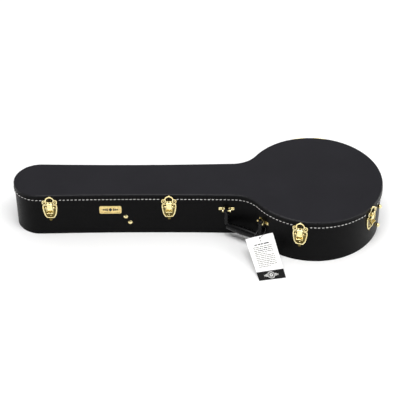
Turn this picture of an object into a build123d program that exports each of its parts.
from build123d import *
from math import asin, atan2, cos, degrees, hypot, radians, sin, sqrt
import os

# Hard-shell banjo case, lying on its flat bottom, lid closed.
# The origin is on the bottom face, under the centre of the round body.
# +X runs towards the round end, -X towards the neck end, -Y is the side with
# the handle and the latches, +Y the side with the hinges, +Z is up.

# ---------------------------------------------------------------- driving sizes
CASE_HEIGHT = 142.0          # bottom face to the top of the lid
PARTING_Z = 120.0            # height at which lid and base meet
BODY_R = 195.0               # round body, outside of the lid
NECK_LENGTH = 852.0          # body centre to the tip of the neck end
NECK_HALF_WIDTH = 69.0       # at the waist of the neck
NECK_WAIST_X = -500.0
NECK_SIDE_R = 9700.0         # the neck's sides bow in by this large radius
JUNCTION_R = 82.0            # concave curve where the neck meets the body

OVERHANG = 2.5               # lid outside the base, all round
COVER_T = 1.0                # vinyl covering
PLY_T = 6.0                  # bent plywood rims
PANEL_T = 5.0                # top and bottom plywood panels
LINER_T = 2.0                # liner board; its top is the tongue in the lid
TONGUE_RISE = 6.0            # tongue above the parting line
PAD_T = 6.0                  # foam and plush on the sides
FLOOR_PAD_T = 8.0
LID_GAP = 0.8                # lid rim above the base rim when closed
TOP_EDGE_R = 4.0

# offsets from the lid's outside face, inwards negative
BASE_OUT = -OVERHANG
BASE_PLY = BASE_OUT - COVER_T
BASE_LINER = BASE_PLY - PLY_T
BASE_PAD = BASE_LINER - LINER_T
BASE_ROOM = BASE_PAD - PAD_T
LID_PLY = -COVER_T
LID_ROOM = LID_PLY - PLY_T
BINDING_T = 0.5
BINDING_HEIGHT = 9.0

BOTTOM_COVER_T = 1.2
FLOOR_Z = BOTTOM_COVER_T + PANEL_T          # inside face of the bottom panel
BASE_RIM_TOP = PARTING_Z - 0.8
LID_RIM_BOTTOM = PARTING_Z + LID_GAP
LID_PANEL_BOTTOM = CASE_HEIGHT - COVER_T - PANEL_T
GAP = 0.3                                   # between bodies that move apart

# ---------------------------------------------------------------- outline
SIDE_CENTRE_Y = NECK_HALF_WIDTH + NECK_SIDE_R
END_REACH = -NECK_LENGTH - NECK_WAIST_X
END_R = (END_REACH**2 + NECK_HALF_WIDTH**2 + 2 * NECK_HALF_WIDTH * NECK_SIDE_R) / (
    2 * (NECK_SIDE_R - END_REACH)
)
END_CENTRE_X = -NECK_LENGTH + END_R


def junction_centre():
    """Centre of the front concave curve: it touches the body and the neck side."""
    reach = hypot(NECK_WAIST_X, SIDE_CENTRE_Y)
    body = BODY_R + JUNCTION_R
    side = NECK_SIDE_R - JUNCTION_R
    along = (body**2 - side**2 + reach**2) / (2 * reach)
    across = sqrt(body**2 - along**2)
    ux, uy = NECK_WAIST_X / reach, -SIDE_CENTRE_Y / reach
    first = (along * ux - across * uy, along * uy + across * ux)
    second = (along * ux + across * uy, along * uy - across * ux)
    return min(first, second)


JUNCTION_X, JUNCTION_Y = junction_centre()


def towards(centre, target, distance):
    """The point at a distance from centre, on the line to target."""
    dx, dy = target[0] - centre[0], target[1] - centre[1]
    length = hypot(dx, dy)
    return (centre[0] + dx / length * distance, centre[1] + dy / length * distance)


def short_arc(centre, radius, start, end):
    middle = ((start[0] + end[0]) / 2, (start[1] + end[1]) / 2)
    return ThreePointArc(start, towards(centre, middle, radius), end)


def mirrored(point):
    return (point[0], -point[1])


def outline(grow):
    """Plan of the case, grown from the lid's outside face."""
    body_r = BODY_R + grow
    junction_r = JUNCTION_R - grow
    side_r = NECK_SIDE_R - grow
    end_r = END_R + grow
    side_centre = (NECK_WAIST_X, -SIDE_CENTRE_Y)
    junction = (JUNCTION_X, JUNCTION_Y)
    end_centre = (END_CENTRE_X, 0)
    on_body = towards((0, 0), junction, body_r)
    on_side = towards(side_centre, junction, side_r)
    on_end = towards(end_centre, side_centre, end_r)
    front = [
        short_arc(side_centre, side_r, on_end, on_side),
        short_arc(junction, junction_r, on_side, on_body),
    ]
    back_side = mirrored(side_centre)
    back_junction = mirrored(junction)
    back = [
        short_arc(back_junction, junction_r, mirrored(on_body), mirrored(on_side)),
        short_arc(back_side, side_r, mirrored(on_side), mirrored(on_end)),
    ]
    body = ThreePointArc(on_body, (body_r, 0), mirrored(on_body))
    end = ThreePointArc(mirrored(on_end), (END_CENTRE_X - end_r, 0), on_end)
    return make_face(Wire(front + [body] + back + [end]))


def prism(grow, z_low, z_high):
    return extrude(Pos(0, 0, z_low) * outline(grow), z_high - z_low)


def band(outer, inner, z_low, z_high):
    return prism(outer, z_low, z_high) - prism(inner, z_low, z_high)


# ---------------------------------------------------------------- places on the wall
def on_neck_front(x, grow):
    """Plan place and turn of a fitting on the front of the neck."""
    dx = x - NECK_WAIST_X
    radius = NECK_SIDE_R - grow
    y = -SIDE_CENTRE_Y + sqrt(radius**2 - dx**2)
    return x, y, -degrees(asin(dx / radius))


def on_body(angle, grow):
    """Plan place and turn of a fitting on the round body, angle from +X."""
    radius = BODY_R + grow
    return radius * cos(radians(angle)), radius * sin(radians(angle)), angle + 90


def place(where, z=0.0):
    x, y, turn = where
    return Location((x, y, z), (0, 0, turn))


# Fittings are drawn lying on a wall in the XZ plane, with -Y outwards.
def slab(face_xz, depth_in, depth_out):
    """Push a face drawn in x and z from depth_in to depth_out off the wall."""
    return extrude(Plane.XZ.offset(depth_in) * face_xz, depth_out - depth_in)


def rod_x(radius, x_low, x_high, out, z):
    """A round bar along X, out from the wall, at height z."""
    middle = (x_low + x_high) / 2
    return Pos(middle, -out, z) * Rot(0, 90, 0) * Cylinder(radius, x_high - x_low)


def dome_rivet(head_r, head_h, shank_r, shank_l, depth):
    """Domed rivet whose head sits at a depth off the wall, shank inwards."""
    ball_r = (head_r**2 + head_h**2) / (2 * head_h)
    ball = Pos(0, -(depth + head_h - ball_r), 0) * Sphere(ball_r)
    outside = Pos(0, -(depth + head_h), 0) * Box(3 * head_r, 2 * head_h, 3 * head_r)
    head = ball & outside
    shank = Pos(0, -(depth - shank_l / 2), 0) * Rot(90, 0, 0) * Cylinder(shank_r, shank_l)
    return head + shank


def group(solids):
    return Compound(children=list(solids))


def solids_of(shapes):
    return [solid for shape in shapes for solid in shape.solids()]


parts = {}

# ---------------------------------------------------------------- latches
LATCH_X = (-746.0, -411.0)                  # on the neck
LATCH_ANGLE = (-104.7, -38.0)               # on the body
latch_places = [on_neck_front(x, BASE_OUT) for x in LATCH_X]
latch_places += [on_body(angle, BASE_OUT) for angle in LATCH_ANGLE]

PLATE_BACK = 0.1
PLATE_FLOOR = 1.3
PLATE_RIM = 3.4
PLATE_TOP_Z = 109.2
PLATE_BOTTOM_Z = 61.0
PIVOT_OUT, PIVOT_Z = 6.3, 101.0             # lever pivot
CLAW_OUT, CLAW_Z = 5.8, 93.0                # claw pivot, just past centre
STUB_R = 1.5
CLAW_PIN_R = 1.2
RUNNING = 0.05
ARM_IN, ARM_OUT = 8.3, 9.5                  # lever arms, half widths
EAR_IN, EAR_OUT = 9.9, 11.1
CLAW_HALF = 7.5
STRIKE_BACK = OVERHANG + BINDING_T + 0.1
STRIKE_FRONT = STRIKE_BACK + 1.4
SHELF_OUT = 6.3
SHELF_Z = 121.0
LATCH_RIVETS = ((-14.1, 94.5), (14.1, 94.5), (0.0, 70.0))
STRIKE_RIVETS = ((-15.0, 120.5), (15.0, 120.5))


def shield(inset):
    """Outline of the base plate of a latch, in x and z."""
    left = [
        (-20.0, PLATE_TOP_Z),
        (-21.0, 99.0),
        (-19.2, 84.0),
        (-16.8, 72.0),
        (-11.0, PLATE_BOTTOM_Z),
    ]
    right = [(-x, z) for x, z in reversed(left)]
    face = make_face(Polyline(left + right, close=True))
    face = fillet(face.vertices(), 3.0)
    return offset(face, -inset) if inset else face


def latch_plate():
    tray = slab(shield(0), PLATE_BACK, PLATE_RIM)
    tray -= slab(shield(3.7), PLATE_FLOOR, PLATE_RIM + 1)
    tray = fillet(tray.faces().sort_by(Axis.Y)[0].edges(), 1.1)
    tab = slab(Pos(0, 56.5) * RectangleRounded(8, 12, 3), PLATE_BACK, 0.9)
    plate = tray + tab
    for side in (-1, 1):
        middle = side * (EAR_IN + EAR_OUT) / 2
        ear = Pos(middle, -(PLATE_FLOOR + PIVOT_OUT) / 2, PIVOT_Z) * Box(
            EAR_OUT - EAR_IN, PIVOT_OUT - PLATE_FLOOR, 7.0
        )
        ear += rod_x(3.5, middle - 0.6, middle + 0.6, PIVOT_OUT, PIVOT_Z)
        ear -= rod_x(STUB_R, middle - 2, middle + 2, PIVOT_OUT, PIVOT_Z)
        plate += ear
    for x, z in LATCH_RIVETS:
        plate -= Pos(x, -1, z) * Rot(90, 0, 0) * Cylinder(1.2, 6)
    return plate


def lever_stubs():
    """Two short pins, headed outside the ears, that carry one lever."""
    stubs = []
    for side in (-1, 1):
        ends = sorted((side * 8.0, side * EAR_OUT))
        pin = rod_x(STUB_R, ends[0], ends[1], PIVOT_OUT, PIVOT_Z)
        ends = sorted((side * EAR_OUT, side * (EAR_OUT + 0.8)))
        stubs.append(pin + rod_x(2.3, ends[0], ends[1], PIVOT_OUT, PIVOT_Z))
    return stubs


LEVER_LOW_Z = 85.6
LEVER_FRONT = 9.6


def lever():
    """Pull-out lever: two arms, a cross plate and a finger lip."""
    arm_face = make_face(
        Polyline(
            [
                (-(PIVOT_OUT - 2.6), PIVOT_Z),
                (-(PIVOT_OUT + 2.6), PIVOT_Z),
                (-LEVER_FRONT, 94.0),
                (-LEVER_FRONT, LEVER_LOW_Z),
                (-7.0, LEVER_LOW_Z),
                (-3.4, 90.0),
            ],
            close=True,
        )
    )
    shape = None
    for side in (-1, 1):
        x_low = min(side * ARM_IN, side * ARM_OUT)
        arm = extrude(Plane.YZ.offset(x_low) * arm_face, ARM_OUT - ARM_IN)
        arm += rod_x(2.6, x_low, x_low + ARM_OUT - ARM_IN, PIVOT_OUT, PIVOT_Z)
        shape = arm if shape is None else shape + arm
    cross = Pos(0, -(LEVER_FRONT - 0.6), 87.6) * Box(2 * ARM_OUT, 1.2, 4.0)
    lip = Pos(0, -(LEVER_FRONT + 0.9), LEVER_LOW_Z + 0.6) * Box(2 * ARM_OUT, 4.2, 1.2)
    nose = rod_x(0.9, -ARM_OUT, ARM_OUT, LEVER_FRONT + 3.0, LEVER_LOW_Z + 0.9)
    shape = shape + cross + lip + nose
    shape -= rod_x(STUB_R + RUNNING, -20, 20, PIVOT_OUT, PIVOT_Z)
    shape -= rod_x(CLAW_PIN_R, -20, 20, CLAW_OUT, CLAW_Z)
    return shape


CLAW_BACK, CLAW_FRONT = 6.6, 8.0
FOOT_Z = SHELF_Z + GAP


def claw():
    """Draw claw: barrel on the lever, plate, knuckle and two hooked prongs."""
    barrel = rod_x(2.2, -CLAW_HALF, CLAW_HALF, CLAW_OUT, CLAW_Z)
    plate = Pos(0, -(CLAW_BACK + CLAW_FRONT) / 2, (CLAW_Z + 117) / 2) * Box(
        2 * CLAW_HALF, CLAW_FRONT - CLAW_BACK, 117 - CLAW_Z
    )
    shape = barrel + plate
    for x in (-3.9, 3.9):
        shape += rod_x(2.6, x - 3.2, x + 3.2, CLAW_FRONT - 1.0, 112.0)
    for x in (-4.3, 4.3):
        shape += Pos(x, -(CLAW_BACK + CLAW_FRONT) / 2, 119.2) * Box(
            4.2, CLAW_FRONT - CLAW_BACK, 7.2
        )
        foot_in = STRIKE_FRONT + GAP
        shape += Pos(x, -(foot_in + CLAW_FRONT) / 2, FOOT_Z + 0.75) * Box(
            4.2, CLAW_FRONT - foot_in, 1.5
        )
    shape -= rod_x(CLAW_PIN_R + RUNNING, -20, 20, CLAW_OUT, CLAW_Z)
    return shape


def claw_pin():
    return rod_x(CLAW_PIN_R, -ARM_OUT, ARM_OUT, CLAW_OUT, CLAW_Z)


def strike_plate():
    """Three-lobed keeper on the lid, with a shelf under the claw's feet."""
    lobes = [
        Pos(side * 15.0, 119.8) * RectangleRounded(12.0, 15.0, 5.0) for side in (-1, 1)
    ]
    crown = Pos(0, 121.8) * RectangleRounded(24, 14, 3.0)
    arch = Pos(0, 126.0) * Ellipse(12.5, 12.7)
    face = lobes[0] + lobes[1] + crown + arch
    window = Pos(0, 126.0) * Ellipse(8.8, 8.0) - Pos(0, 116.5) * Rectangle(30, 12)
    window -= Pos(-3.9, 123.5) * Rectangle(1.4, 10) + Pos(3.9, 123.5) * Rectangle(1.4, 10)
    face -= window
    plate = slab(face, STRIKE_BACK, STRIKE_FRONT)
    band_face = arch - Pos(0, 126.0) * Ellipse(9.6, 8.9) - Pos(0, 115) * Rectangle(40, 20)
    plate += slab(band_face, STRIKE_FRONT, STRIKE_FRONT + 0.9)
    for side in (-1, 1):
        lobe = Pos(side * 15.0, 119.8) * RectangleRounded(12.0, 15.0, 5.0)
        dish = Pos(side * 15.0, 119.8) * RectangleRounded(7.6, 10.6, 3.4)
        plate += slab(lobe - dish, STRIKE_FRONT, STRIKE_FRONT + 0.9)
    shelf_depth = SHELF_OUT - STRIKE_FRONT
    plate += Pos(0, -(STRIKE_FRONT + shelf_depth / 2), SHELF_Z - 0.7) * Box(
        16, shelf_depth, 1.4
    )
    for x, z in STRIKE_RIVETS:
        plate -= Pos(x, -3, z) * Rot(90, 0, 0) * Cylinder(1.2, 10)
    return plate


latch_rivets, stubs, strike_rivets = [], [], []
latch_shapes = {
    "latch_plate": latch_plate(),
    "lever": lever(),
    "claw": claw(),
    "claw_pin": claw_pin(),
    "strike_plate": strike_plate(),
}
for number, where in enumerate(latch_places, start=1):
    for name, shape in latch_shapes.items():
        parts[f"{name}_{number}"] = place(where) * shape
    stubs += [place(where) * stub for stub in lever_stubs()]
    for x, z in LATCH_RIVETS:
        rivet = dome_rivet(2.3, 1.2, 1.2, 6.0, PLATE_FLOOR)
        latch_rivets.append(place(where) * Pos(x, 0, z) * rivet)
    for x, z in STRIKE_RIVETS:
        rivet = dome_rivet(2.4, 1.3, 1.2, 7.5, STRIKE_FRONT)
        strike_rivets.append(place(where) * Pos(x, 0, z) * rivet)
parts["latch_rivets"] = group(latch_rivets)
parts["lever_stubs"] = group(stubs)
parts["strike_rivets"] = group(strike_rivets)

# ---------------------------------------------------------------- name plate, studs, feet
NAME_PLATE_X, NAME_PLATE_Z = -576.5, 86.5
NAME_PLATE_W, NAME_PLATE_H = 62.0, 27.0


def name_plate():
    """Blank stamped plate with a raised border."""
    plate = slab(RectangleRounded(NAME_PLATE_W, NAME_PLATE_H, 5), 0.1, 1.6)
    field = RectangleRounded(NAME_PLATE_W - 6, NAME_PLATE_H - 6, 3.5)
    plate -= slab(field, 0.9, 2.0)
    for side in (-1, 1):
        plate -= Pos(side * 25.5, 0, 0) * Rot(90, 0, 0) * Cylinder(0.9, 6)
    return plate


name_place = place(on_neck_front(NAME_PLATE_X, BASE_OUT), NAME_PLATE_Z)
parts["name_plate"] = name_place * name_plate()
name_pins = [
    name_place * Pos(side * 25.5, 0, 0) * dome_rivet(1.7, 0.8, 0.9, 4.0, 0.9)
    for side in (-1, 1)
]
parts["name_plate_pins"] = group(name_pins)

SIDE_STUDS = ((-534.0, 59.5), (-522.0, 38.5))
side_studs = [
    place(on_neck_front(x, BASE_OUT), z) * dome_rivet(6.5, 3.0, 1.6, 6.0, 0.1)
    for x, z in SIDE_STUDS
]
parts["side_studs"] = group(side_studs)

FOOT_ANGLE = 23.5
FOOT_HEIGHTS = (36.0, 104.0)


def ball_foot():
    """Round foot: a ball on a short collar, with a shank into the wall."""
    ball = Pos(0, -5.2, 0) * Sphere(6.0)
    outside = Pos(0, -10.1, 0) * Box(20, 20, 20)
    collar = Pos(0, -0.85, 0) * Rot(90, 0, 0) * Cylinder(5.2, 1.5)
    shank = Pos(0, 2.4, 0) * Rot(90, 0, 0) * Cylinder(1.8, 7.0)
    return (ball & outside) + collar + shank


end_feet = [
    place(on_body(angle, BASE_OUT), z) * ball_foot()
    for angle in (-FOOT_ANGLE, FOOT_ANGLE)
    for z in FOOT_HEIGHTS
]
parts["end_feet"] = group(end_feet)

# ---------------------------------------------------------------- handle
HANDLE_Z = 92.0
BAR_OUT = 11.5
BAR_R = 1.8
SADDLE_H, SADDLE_T = 9.0, 1.5
SADDLE_W = {"left": 43.0, "right": 38.0}
SADDLE_RIVET_X = {"left": 17.0, "right": 15.5}
POST_X = 10.5
SADDLE_NECK_X = -249.0
SADDLE_BODY_ANGLE = -139.5
SADDLE_RIVET_TURN = degrees(SADDLE_RIVET_X["right"] / BODY_R)
LOOP_R, LOOP_HOLE_R, LOOP_W = 7.6, 5.4, 11.6
GRIP_DROP = 53.5
GRIP_R, GRIP_END_R = 13.2, 10.0
GRIP_FLAT = 0.78             # grip's depth over its height

saddle_places = [
    on_neck_front(SADDLE_NECK_X, BASE_OUT),
    on_body(SADDLE_BODY_ANGLE, BASE_OUT),
]


def wall_plate(grow, thickness, here, width, z_low, z_high):
    """A plate that follows the wall, cut out of a band by a block at a place."""
    strip = band(grow + 0.1 + thickness, grow + 0.1, z_low, z_high)
    return strip & (here * Box(width, 60, 4 * CASE_HEIGHT))


def saddle(where, width, rivet_places):
    """Handle bracket: plate shaped to the wall, two posts and a cross bar."""
    here = place(where, HANDLE_Z)
    low, high = HANDLE_Z - SADDLE_H / 2, HANDLE_Z + SADDLE_H / 2
    plate = wall_plate(BASE_OUT, SADDLE_T, here, width, low, high)
    for side in (-1, 1):
        post = Pos(side * POST_X, -(BAR_OUT + 0.9) / 2, 0) * Box(3, BAR_OUT - 0.9, 7)
        post += rod_x(3.5, side * POST_X - 1.5, side * POST_X + 1.5, BAR_OUT, 0)
        plate += here * post
    plate += here * rod_x(BAR_R, -POST_X, POST_X, BAR_OUT, 0)
    plate -= prism(BASE_OUT + 0.1, low - 1, high + 1)
    for spot in rivet_places:
        plate -= place(spot, HANDLE_Z) * Rot(90, 0, 0) * Cylinder(1.4, 12)
    return plate


saddle_rivet_places = [
    [
        on_neck_front(SADDLE_NECK_X + side * SADDLE_RIVET_X["left"], BASE_OUT)
        for side in (-1, 1)
    ],
    [
        on_body(SADDLE_BODY_ANGLE + side * SADDLE_RIVET_TURN, BASE_OUT)
        for side in (-1, 1)
    ],
]
saddle_rivets = []
for name, where, spots in zip(("left", "right"), saddle_places, saddle_rivet_places):
    parts[f"handle_saddle_{name}"] = saddle(where, SADDLE_W[name], spots)
    rivet = dome_rivet(2.8, 1.5, 1.4, 7.0, SADDLE_T + 0.1)
    saddle_rivets += [place(spot, HANDLE_Z) * rivet for spot in spots]
parts["saddle_rivets"] = group(saddle_rivets)

bar_ends = [
    (x + BAR_OUT * sin(radians(turn)), y - BAR_OUT * cos(radians(turn)))
    for x, y, turn in saddle_places
]
handle_dx = bar_ends[1][0] - bar_ends[0][0]
handle_dy = bar_ends[1][1] - bar_ends[0][1]
HALF_SPAN = hypot(handle_dx, handle_dy) / 2
HANDLE_TURN = degrees(atan2(handle_dy, handle_dx))
handle_frame = Location(
    (
        (bar_ends[0][0] + bar_ends[1][0]) / 2,
        (bar_ends[0][1] + bar_ends[1][1]) / 2,
        HANDLE_Z,
    ),
    (0, 0, HANDLE_TURN),
)


def handle_path(top):
    corners = [
        (-HALF_SPAN, 0, top),
        (-HALF_SPAN, 0, -GRIP_DROP),
        (HALF_SPAN, 0, -GRIP_DROP),
        (HALF_SPAN, 0, top),
    ]
    return FilletPolyline(*corners, radius=15.0)


CORE_W, CORE_T = 7.0, 1.6


def handle_core():
    """Flat steel strip that runs inside the grip from loop to loop."""
    path = handle_path(-9.5)
    section = Plane(path @ 0, x_dir=(1, 0, 0), z_dir=path % 0) * Rectangle(CORE_W, CORE_T)
    return sweep(section, path=path)


def handle_grip():
    """Padded grip with flat arms and a loop at each end."""
    path = handle_path(-5.0)
    section = Plane(path @ 0, x_dir=(1, 0, 0), z_dir=path % 0) * RectangleRounded(
        LOOP_W, 6.0, 2.2
    )
    shape = sweep(section, path=path)
    reach = HALF_SPAN + 1.0
    shoulder = reach - 8.0
    profile = make_face(
        [
            ThreePointArc((-shoulder, GRIP_END_R), (0, GRIP_R), (shoulder, GRIP_END_R)),
            ThreePointArc(
                (shoulder, GRIP_END_R), (reach - 2.2, GRIP_END_R - 3.2), (reach, 0)
            ),
            Line((reach, 0), (-reach, 0)),
            ThreePointArc(
                (-reach, 0), (-reach + 2.2, GRIP_END_R - 3.2), (-shoulder, GRIP_END_R)
            ),
        ]
    )
    grip = scale(revolve(profile, axis=Axis.X), by=(1, GRIP_FLAT, 1))
    shape += Pos(0, 0, -GRIP_DROP) * grip
    for side in (-1, 1):
        middle = side * HALF_SPAN
        shape += rod_x(LOOP_R, middle - LOOP_W / 2, middle + LOOP_W / 2, 0, 0)
        shape -= rod_x(LOOP_HOLE_R, middle - LOOP_W, middle + LOOP_W, 0, 0)
    return shape - handle_core()


parts["handle_grip"] = handle_frame * handle_grip()
parts["handle_core"] = handle_frame * handle_core()

# ---------------------------------------------------------------- swing tag
TAG_BOTTOM = ((-162.0, -272.0, 0.4), (-88.0, -259.0, 0.4))
TAG_TOP = ((-198.0, -161.5, 56.0), (-122.5, -161.5, 80.0))
TAG_FACING = Vector(-0.1, -0.45, 0.88).normalized()
TAG_T = 0.6
TAG_HOLE_ACROSS, TAG_HOLE_UP, TAG_HOLE_R = 0.5, 0.95, 2.4
TIE_R = 0.45
TIE_BEHIND = 7.6             # tie passes this far behind the handle's arm
TIE_TILT = 45.0              # so the loop crosses both the arm and the card


def mix(first, second, share):
    return Vector(*first) + (Vector(*second) - Vector(*first)) * share


def thin_end(low, high):
    """Outline of one short end of the card, its thickness along TAG_FACING."""
    low, high = Vector(*low), Vector(*high)
    step = TAG_FACING * TAG_T
    return Wire(Polyline(low, high, high + step, low + step, close=True).edges())


tag_hole = mix(
    mix(*TAG_BOTTOM, TAG_HOLE_ACROSS), mix(*TAG_TOP, TAG_HOLE_ACROSS), TAG_HOLE_UP
)
arm_point = Vector(bar_ends[1][0], bar_ends[1][1], tag_hole.Z)
tie_reach = (tag_hole - arm_point).length
tie_way = (tag_hole - arm_point).normalized()
TIE_RING_R = (tie_reach + TIE_BEHIND) / 2
tie_centre = arm_point + tie_way * (tie_reach - TIE_RING_R)


def swing_tag():
    """Card that leans from the handle to the ground, twisted a little."""
    card = Solid.make_loft([thin_end(*TAG_BOTTOM), thin_end(*TAG_TOP)], ruled=True)
    hole = Plane(origin=tag_hole, z_dir=TAG_FACING) * Cylinder(TAG_HOLE_R, 12)
    return card - hole


def tag_tie():
    """Closed loop through the card's hole and round the handle's arm."""
    flat = Plane(origin=tie_centre, x_dir=tie_way, z_dir=(0, 0, 1))
    return flat * Rot(TIE_TILT, 0, 0) * Torus(TIE_RING_R, TIE_R)


parts["swing_tag"] = swing_tag()
parts["tag_tie"] = tag_tie()

# ---------------------------------------------------------------- hinges
HINGE_X = (-30.0, 30.0)
HINGE_W = 36.0
KNUCKLE_W = 10.0
KNUCKLE_R = 3.2
HINGE_PIN_R = 1.5
HINGE_Y = BODY_R + BINDING_T + KNUCKLE_R + 0.5
LEAF_T = 1.5
BASE_LEAF = (94.0, PARTING_Z - 1.5)
LID_LEAF = (PARTING_Z + 1.5, 139.0)
BASE_FLANGE_Z = PARTING_Z - KNUCKLE_R + 0.2


def knuckle(x_low, x_high):
    return Pos(0, HINGE_Y, 0) * rod_x(KNUCKLE_R, x_low, x_high, 0, PARTING_Z)


def flange(x_low, x_high, z_low):
    """Arm of a leaf from the wall out to its knuckle."""
    middle = (x_low + x_high) / 2
    return Pos(middle, HINGE_Y - 8, z_low + LEAF_T / 2) * Box(x_high - x_low, 16, LEAF_T)


def hinge_leaf(x, grow, z_low, z_high, flange_z, spans, other_spans, bore_r):
    leaf = wall_plate(grow, LEAF_T, Pos(x, BODY_R, 0), HINGE_W, z_low, z_high)
    for x_low, x_high in other_spans:
        room = rod_x(KNUCKLE_R + GAP, x_low - GAP, x_high + GAP, 0, PARTING_Z)
        leaf -= Pos(0, HINGE_Y, 0) * room
    for x_low, x_high in spans:
        arm = flange(x_low, x_high, flange_z) - prism(grow + 0.1, z_low - 9, z_high + 9)
        leaf += arm + knuckle(x_low, x_high)
    bore = Pos(x, HINGE_Y, PARTING_Z) * Rot(0, 90, 0) * Cylinder(bore_r, 2 * HINGE_W)
    return leaf - bore


def hinge_rivet_spots(x, grow, z_values):
    """Rivet places on one leaf: two columns at each height."""
    spots = []
    for dx in (-13, 13):
        angle = degrees(atan2(sqrt(BODY_R**2 - (x + dx) ** 2), x + dx))
        spots += [place(on_body(angle, grow), z) for z in z_values]
    return spots


hinge_pins, base_hinge_rivets, lid_hinge_rivets = [], [], []
hinge_rivet = dome_rivet(2.2, 1.0, 1.1, 5.5, LEAF_T + 0.1)
rivet_hole = Rot(90, 0, 0) * Cylinder(1.1, 12)
for number, x in enumerate(HINGE_X, start=1):
    left, right = x - HINGE_W / 2, x + HINGE_W / 2
    outer = [(left, left + KNUCKLE_W), (right - KNUCKLE_W, right)]
    inner = [(left + KNUCKLE_W + GAP, right - KNUCKLE_W - GAP)]
    low_leaf = hinge_leaf(
        x, BASE_OUT, *BASE_LEAF, BASE_FLANGE_Z, outer, inner, HINGE_PIN_R
    )
    high_leaf = hinge_leaf(
        x, BINDING_T, *LID_LEAF, LID_LEAF[0], inner, outer, HINGE_PIN_R + RUNNING
    )
    for spot in hinge_rivet_spots(x, BASE_OUT, (99.0, 111.0)):
        low_leaf -= spot * rivet_hole
        base_hinge_rivets.append(spot * hinge_rivet)
    for spot in hinge_rivet_spots(x, BINDING_T, (132.0,)):
        high_leaf -= spot * rivet_hole
        lid_hinge_rivets.append(spot * hinge_rivet)
    parts[f"hinge_base_leaf_{number}"] = low_leaf
    parts[f"hinge_lid_leaf_{number}"] = high_leaf
    hinge_pins.append(
        Pos(x, HINGE_Y, PARTING_Z) * Rot(0, 90, 0) * Cylinder(HINGE_PIN_R, HINGE_W + 1)
    )
parts["hinge_pins"] = group(hinge_pins)
parts["hinge_base_rivets"] = group(base_hinge_rivets)
parts["hinge_lid_rivets"] = group(lid_hinge_rivets)

# ---------------------------------------------------------------- base shell
base_fixings = (
    latch_rivets + name_pins + side_studs + end_feet + saddle_rivets + base_hinge_rivets
)
lid_fixings = strike_rivets + lid_hinge_rivets


def drilled(shape, fixings):
    return shape - solids_of(fixings)


bottom = prism(BASE_OUT, 0, BOTTOM_COVER_T)
parts["base_bottom_covering"] = chamfer(
    bottom.faces().sort_by(Axis.Z)[0].edges(), 0.8
)
parts["base_covering"] = drilled(
    band(BASE_OUT, BASE_PLY, BOTTOM_COVER_T, BASE_RIM_TOP), base_fixings
)
parts["base_panel"] = prism(BASE_PLY, BOTTOM_COVER_T, FLOOR_Z)
parts["base_rim"] = drilled(
    band(BASE_PLY, BASE_LINER, FLOOR_Z, BASE_RIM_TOP), base_fixings
)
parts["base_liner"] = band(BASE_LINER, BASE_PAD, FLOOR_Z, PARTING_Z + TONGUE_RISE)
parts["base_side_padding"] = band(BASE_PAD, BASE_ROOM, FLOOR_Z, PARTING_Z - 2)
parts["base_floor_padding"] = prism(BASE_ROOM, FLOOR_Z, FLOOR_Z + FLOOR_PAD_T)
PLUSH_Z = FLOOR_Z + FLOOR_PAD_T

# ---------------------------------------------------------------- lid shell
LID_PAD_T = 8.0
lid_skin = prism(0, LID_RIM_BOTTOM - 0.4, CASE_HEIGHT)
lid_skin = fillet(lid_skin.faces().sort_by(Axis.Z)[-1].edges(), TOP_EDGE_R)
lid_core = prism(LID_PLY, LID_RIM_BOTTOM - 1, CASE_HEIGHT - COVER_T)
lid_core = fillet(lid_core.faces().sort_by(Axis.Z)[-1].edges(), TOP_EDGE_R - COVER_T)
parts["lid_covering"] = drilled(lid_skin - lid_core, lid_fixings)
parts["lid_panel"] = lid_core & prism(1, LID_PANEL_BOTTOM, CASE_HEIGHT)
parts["lid_rim"] = drilled(
    band(LID_PLY, LID_ROOM, LID_RIM_BOTTOM, LID_PANEL_BOTTOM), lid_fixings
)
parts["lid_padding"] = prism(LID_ROOM, LID_PANEL_BOTTOM - LID_PAD_T, LID_PANEL_BOTTOM)
parts["lid_edge_binding"] = drilled(
    band(BINDING_T, 0, PARTING_Z - 0.4, PARTING_Z - 0.4 + BINDING_HEIGHT), lid_fixings
)

# ---------------------------------------------------------------- inside of the base
CRADLE_HALF = 51.0
CRADLE_T = 28.0
CRADLE_NOTCH_HALF = 30.0


def neck_cradle(x, top_z, notch_depth):
    """Padded block with a rounded notch that the instrument's neck lies in."""
    block = Pos(x, 0, (PLUSH_Z + top_z) / 2) * Box(
        CRADLE_T, 2 * CRADLE_HALF, top_z - PLUSH_Z
    )
    block = fillet(block.edges().filter_by(Axis.X).sort_by(Axis.Z)[-2:], 10)
    notch = Pos(x, 0, top_z) * Box(
        2 * CRADLE_T, 2 * CRADLE_NOTCH_HALF, 2 * notch_depth
    )
    notch = fillet(notch.edges().filter_by(Axis.X).sort_by(Axis.Z)[:2], 20)
    return block - notch


parts["neck_cradle_heel"] = neck_cradle(-275.0, 88.0, 36.0)
parts["neck_cradle_head"] = neck_cradle(-640.0, 80.0, 30.0)

BOX_X = (-468.0, -390.0)
BOX_HALF = 50.0
BOX_WALL = 3.0
BOX_TOP = 48.0
BOX_LID_T = 4.0
BOX_AXIS_X, BOX_AXIS_Z = -464.5, 51.0
BOX_KNUCKLE_R = 2.6
BOX_PIN_R = 1.0
BOX_KNUCKLE_HALF = 36.0


def rod_y(radius, half, x, z):
    return Pos(x, 0, z) * Rot(90, 0, 0) * Cylinder(radius, 2 * half)


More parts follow.
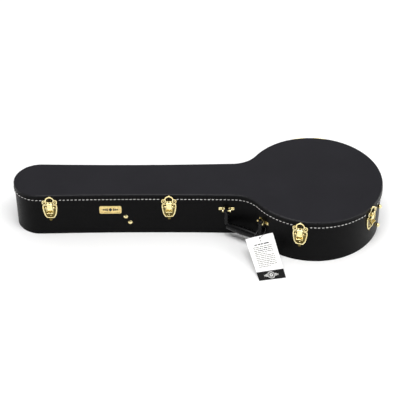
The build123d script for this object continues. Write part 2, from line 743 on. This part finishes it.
def accessory_box():
    """Open compartment with two ears that hold its lid's pin."""
    middle = (BOX_X[0] + BOX_X[1]) / 2
    length = BOX_X[1] - BOX_X[0]
    height = BOX_TOP - PLUSH_Z
    box = Pos(middle, 0, PLUSH_Z + height / 2) * Box(length, 2 * BOX_HALF, height)
    inside = Pos(middle, 0, PLUSH_Z + BOX_WALL + height / 2) * Box(
        length - 2 * BOX_WALL, 2 * (BOX_HALF - BOX_WALL), height
    )
    box -= inside
    for side in (-1, 1):
        ear_y = side * (BOX_KNUCKLE_HALF + GAP + 2.5)
        ear = Pos(BOX_AXIS_X, ear_y, BOX_TOP + 1.5) * Box(5.2, 5.0, 3.0)
        ear += Pos(BOX_AXIS_X, ear_y, BOX_AXIS_Z) * Rot(90, 0, 0) * Cylinder(2.6, 5.0)
        box += ear
    return box - rod_y(BOX_PIN_R, 60, BOX_AXIS_X, BOX_AXIS_Z)


def accessory_lid():
    knuckle_rod = rod_y(BOX_KNUCKLE_R, BOX_KNUCKLE_HALF, BOX_AXIS_X, BOX_AXIS_Z)
    start = BOX_AXIS_X + 3.2
    length = BOX_X[1] - start
    plate_z = BOX_TOP + GAP + BOX_LID_T / 2
    plate = Pos(start + length / 2, 0, plate_z) * Box(length, 2 * BOX_HALF, BOX_LID_T)
    web = Pos(BOX_AXIS_X + 2, 0, plate_z) * Box(4, 2 * BOX_KNUCKLE_HALF, BOX_LID_T)
    shape = plate + web + knuckle_rod
    shape -= rod_y(BOX_PIN_R + RUNNING, 60, BOX_AXIS_X, BOX_AXIS_Z)
    tab_slot = Pos(BOX_X[1] - 8, 0, plate_z) * Box(2.0, 16.0, 20)
    return shape - tab_slot


def accessory_pull_tab():
    """Ribbon loop through a slot at the lid's free edge."""
    plate_z = BOX_TOP + GAP + BOX_LID_T / 2
    tab = Pos(BOX_X[1] - 8, 0, plate_z) * Box(1.6, 15.0, BOX_LID_T)
    top = Pos(BOX_X[1] - 3.8, 0, plate_z + BOX_LID_T / 2 + 0.6) * Box(10.0, 15.0, 1.2)
    return tab + top


parts["accessory_box"] = accessory_box()
parts["accessory_lid"] = accessory_lid()
parts["accessory_pull_tab"] = accessory_pull_tab()
parts["accessory_lid_pin"] = rod_y(
    BOX_PIN_R, BOX_KNUCKLE_HALF + GAP + 5, BOX_AXIS_X, BOX_AXIS_Z
)

# ---------------------------------------------------------------- write the parts
os.makedirs("parts", exist_ok=True)
for name, shape in parts.items():
    export_step(shape, f"parts/{name}.step")
print(len(parts), "parts written")
